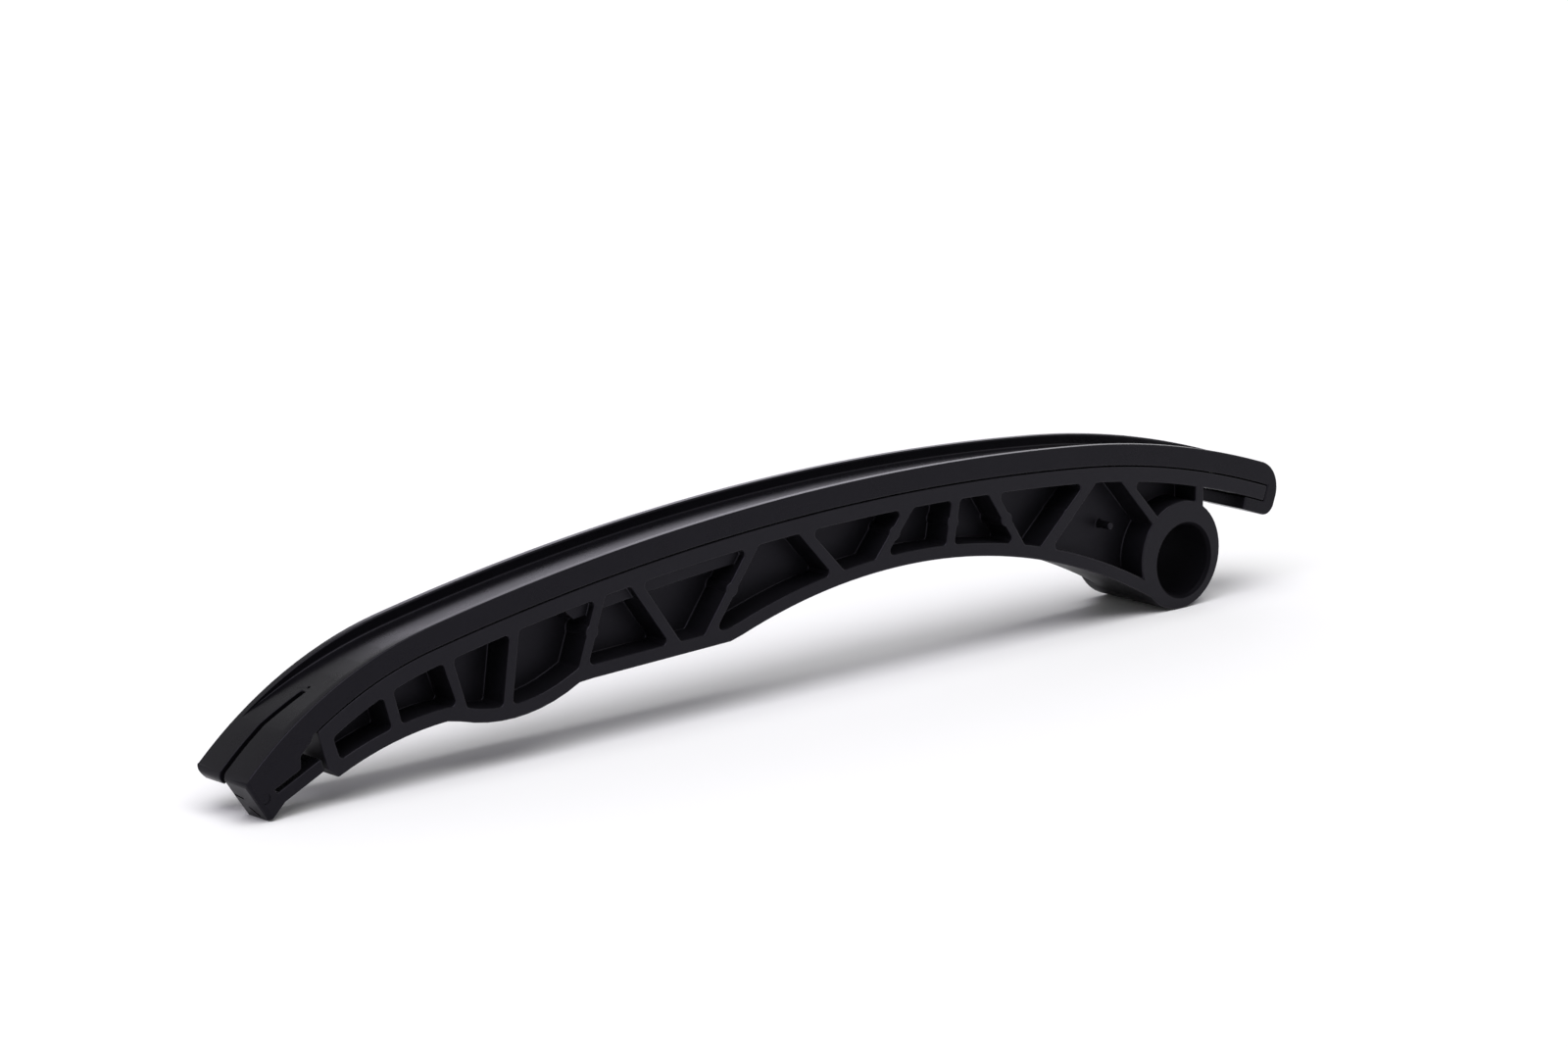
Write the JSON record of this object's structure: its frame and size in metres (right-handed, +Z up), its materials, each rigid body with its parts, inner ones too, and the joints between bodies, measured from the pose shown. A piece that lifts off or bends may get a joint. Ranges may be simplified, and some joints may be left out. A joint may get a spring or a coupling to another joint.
{
  "type": "timing chain guide",
  "caption": "Curved, ribbed plastic chain guide with a pivot boss at its head, a plunger pad below and a flanged slide lining clipped over its convex top.",
  "frame": {"origin": "on the axis of the pivot bore, halfway across the width of the rail", "axes": "+X along the rail towards the head, +Y along the bore to the back, where the boss stands proud, +Z up to the chain"},
  "size_m": [0.2133, 0.016, 0.0331],
  "materials": {
    "carrier": "satin black, fine grain",
    "slide_lining": "smooth satin black"
  },
  "bodies": {
    "root": {"carrier": "carrier", "slide_lining": "slide_lining", "guide_flanges": "slide_lining"}
  },
  "joints": []
}
